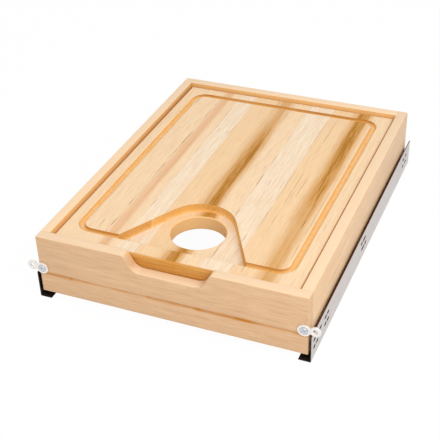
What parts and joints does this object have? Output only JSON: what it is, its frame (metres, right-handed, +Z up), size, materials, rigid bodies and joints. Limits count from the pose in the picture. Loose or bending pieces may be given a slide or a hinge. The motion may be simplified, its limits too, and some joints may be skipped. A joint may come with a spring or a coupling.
{
  "type": "pull-out cutting board drawer",
  "caption": "Wooden drawer frame on undermount slides with a lift-out edge-grain cutting board, juice groove and waste hole in a bell-shaped recess.",
  "frame": {"origin": "middle of the part's footprint, on the plane of the slides' undersides", "axes": "+Z up, -Y out of the cabinet toward the user, +X to the drawer's right as seen by the user"},
  "size_m": [0.4423, 0.5552, 0.107],
  "materials": {
    "maple": "clear satin lacquer, long grain",
    "board_maple": "oiled edge-grain maple strips with some brown heartwood",
    "bearer_wood": "clear satin lacquer",
    "cleat_wood": "planed, clear satin lacquer",
    "dowel_wood": "fluted beech, glued",
    "rail_steel": "bright zinc plate outside, dark and oily inside",
    "inner_rail_steel": "zinc plate, oiled",
    "roller_steel": "ground",
    "cage_plastic": "moulded, matte",
    "buffer_rubber": "matte",
    "lock_plastic": "moulded, matte",
    "lever_plastic": "moulded, matte",
    "screw_steel": "zinc plate",
    "plate_nickel": "satin nickel plate"
  },
  "bodies": {
    "cabinet_rails": {"cabinet_rail_left": "rail_steel", "cabinet_rail_right": "rail_steel", "rear_buffer_left": "buffer_rubber", "rear_buffer_right": "buffer_rubber"},
    "drawer": {"drawer_rail_left": "inner_rail_steel", "drawer_rail_right": "inner_rail_steel", "front_upper_board": "maple", "front_lower_board": "maple", "drawer_side_left": "maple", "drawer_side_right": "maple", "drawer_back": "maple", "bearer_strip_left": "bearer_wood", "bearer_strip_right": "bearer_wood", "board_cleat_left": "cleat_wood", "board_cleat_right": "cleat_wood", "board_cleat_front": "cleat_wood", "board_cleat_back": "cleat_wood", "corner_dowels": "dowel_wood", "figure_eight_plate_left": "plate_nickel", "figure_eight_plate_right": "plate_nickel", "figure_eight_screws": "screw_steel", "lock_housing_left": "lock_plastic", "lock_housing_right": "lock_plastic", "lock_screws": "screw_steel"},
    "board": {"cutting_board": "board_maple"},
    "intermediate_left": {"intermediate_rail_left": "inner_rail_steel"},
    "lower_cage_left": {"lower_roller_cage_left": "cage_plastic", "lower_rollers_left": "roller_steel"},
    "upper_cage_left": {"upper_roller_cage_left": "cage_plastic", "upper_rollers_left": "roller_steel"},
    "lever_left": {"lock_lever_left": "lever_plastic"},
    "intermediate_right": {"intermediate_rail_right": "inner_rail_steel"},
    "lower_cage_right": {"lower_roller_cage_right": "cage_plastic", "lower_rollers_right": "roller_steel"},
    "upper_cage_right": {"upper_roller_cage_right": "cage_plastic", "upper_rollers_right": "roller_steel"},
    "lever_right": {"lock_lever_right": "lever_plastic"}
  },
  "joints": [
    {"name": "drawer_slide", "type": "slide", "parent": "cabinet_rails", "child": "drawer", "axis": [0, -1, 0], "range_m": [0, 0.525]},
    {"name": "board_lift", "type": "slide", "parent": "drawer", "child": "board", "axis": [0, 0, 1], "range_m": [0, 0.045]},
    {"name": "intermediate_slide_left", "type": "slide", "parent": "cabinet_rails", "child": "intermediate_left", "axis": [0, -1, 0], "range_m": [0, 0.2625]},
    {"name": "lower_cage_roll_left", "type": "slide", "parent": "intermediate_left", "child": "lower_cage_left", "axis": [0, 1, 0], "range_m": [0, 0.13125]},
    {"name": "upper_cage_roll_left", "type": "slide", "parent": "intermediate_left", "child": "upper_cage_left", "axis": [0, -1, 0], "range_m": [0, 0.13125]},
    {"name": "lock_lever_turn_left", "type": "hinge", "parent": "drawer", "child": "lever_left", "pos_m": [-0.132, -0.2245, 0.0225], "axis": [0, 0, 1], "range_deg": [0, 12], "stiffness_Nm_per_rad": 0.1},
    {"name": "intermediate_slide_right", "type": "slide", "parent": "cabinet_rails", "child": "intermediate_right", "axis": [0, -1, 0], "range_m": [0, 0.2625]},
    {"name": "lower_cage_roll_right", "type": "slide", "parent": "intermediate_right", "child": "lower_cage_right", "axis": [0, 1, 0], "range_m": [0, 0.13125]},
    {"name": "upper_cage_roll_right", "type": "slide", "parent": "intermediate_right", "child": "upper_cage_right", "axis": [0, -1, 0], "range_m": [0, 0.13125]},
    {"name": "lock_lever_turn_right", "type": "hinge", "parent": "drawer", "child": "lever_right", "pos_m": [0.132, -0.2245, 0.0225], "axis": [0, 0, 1], "range_deg": [-12, 0], "stiffness_Nm_per_rad": 0.1}
  ],
  "couplings": [
    {"joint": "intermediate_slide_left", "follows": "drawer_slide", "ratio": 0.5},
    {"joint": "lower_cage_roll_left", "follows": "drawer_slide", "ratio": 0.25},
    {"joint": "upper_cage_roll_left", "follows": "drawer_slide", "ratio": 0.25},
    {"joint": "intermediate_slide_right", "follows": "drawer_slide", "ratio": 0.5},
    {"joint": "lower_cage_roll_right", "follows": "drawer_slide", "ratio": 0.25},
    {"joint": "upper_cage_roll_right", "follows": "drawer_slide", "ratio": 0.25}
  ]
}
